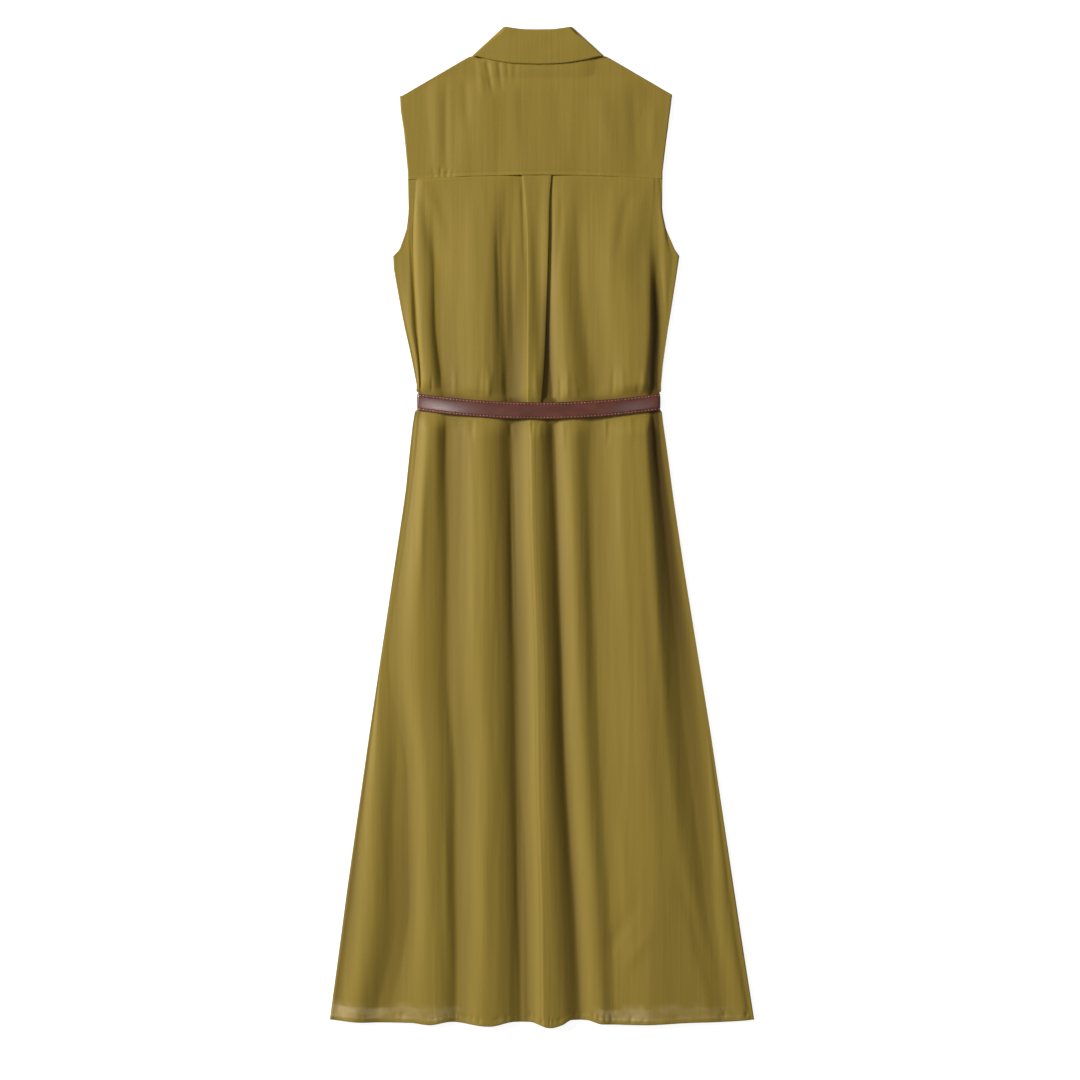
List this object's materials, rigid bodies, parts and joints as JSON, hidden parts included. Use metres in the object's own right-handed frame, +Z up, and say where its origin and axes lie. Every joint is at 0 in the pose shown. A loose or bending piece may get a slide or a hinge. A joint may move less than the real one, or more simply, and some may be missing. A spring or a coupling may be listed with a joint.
{
  "type": "shirt dress",
  "caption": "Sleeveless belted midi shirt dress laid flat, back up, with collar, back yoke and box pleat.",
  "frame": {"origin": "middle of the resting face, under the middle of the dress's outline", "axes": "+Z up from the surface it lies on, +Y towards the neck, +X towards the wearer's right side"},
  "size_m": [0.5302, 1.2496, 0.0141],
  "materials": {
    "dress_crepe": "soft satin crepe",
    "belt_leather": "smooth, edge stitched",
    "buckle_metal": "satin",
    "button_horn": "polished"
  },
  "bodies": {
    "root": {"back": "dress_crepe", "yoke": "dress_crepe", "front_left": "dress_crepe", "front_right": "dress_crepe", "collar": "dress_crepe", "collar_stand": "dress_crepe", "belt_strap": "belt_leather", "belt_buckle": "buckle_metal", "button_1": "button_horn", "button_2": "button_horn", "button_3": "button_horn", "button_4": "button_horn", "button_5": "button_horn", "button_6": "button_horn", "button_7": "button_horn", "button_8": "button_horn", "button_9": "button_horn"}
  },
  "joints": []
}
